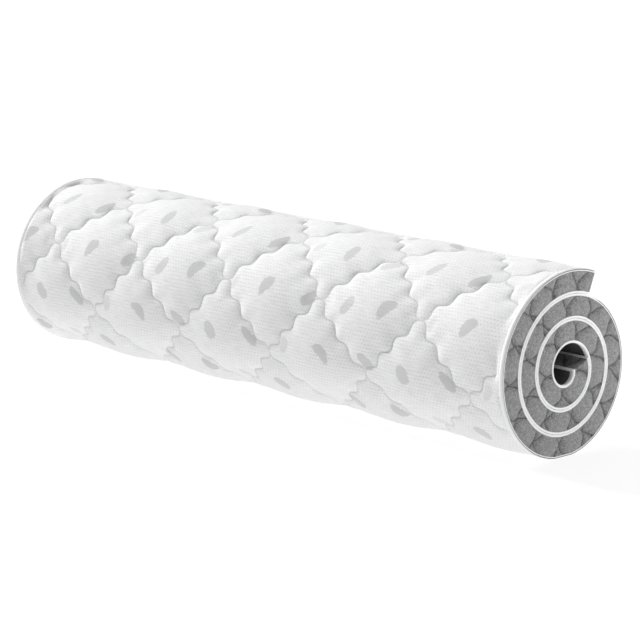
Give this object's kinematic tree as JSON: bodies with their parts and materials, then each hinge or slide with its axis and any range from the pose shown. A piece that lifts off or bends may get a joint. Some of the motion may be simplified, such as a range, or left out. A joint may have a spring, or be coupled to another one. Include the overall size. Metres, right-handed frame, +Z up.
{
  "type": "rolled mattress",
  "caption": "Thin quilted double-bed mattress wound into a roll on its side, with a white quilted top panel outwards, a grey quilted border and white binding tapes.",
  "frame": {"origin": "on the surface the roll rests on, under the middle of its bounding box", "axes": "+X along the roll, +Z up, -Y towards the side on which the outer end runs down over the front"},
  "size_m": [1.601, 0.3718, 0.3935],
  "materials": {
    "border_fabric": "mid grey quilted knit",
    "top_fabric": "white dotted quilted knit with pale grey petals",
    "bottom_fabric": "plain dark grey knit",
    "binding_tape": "white woven tape, stitched"
  },
  "bodies": {
    "root": {"filled_body_with_border": "border_fabric", "quilted_top_panel": "top_fabric", "bottom_panel": "bottom_fabric", "top_binding_tape": "binding_tape", "bottom_binding_tape": "binding_tape"}
  },
  "joints": []
}
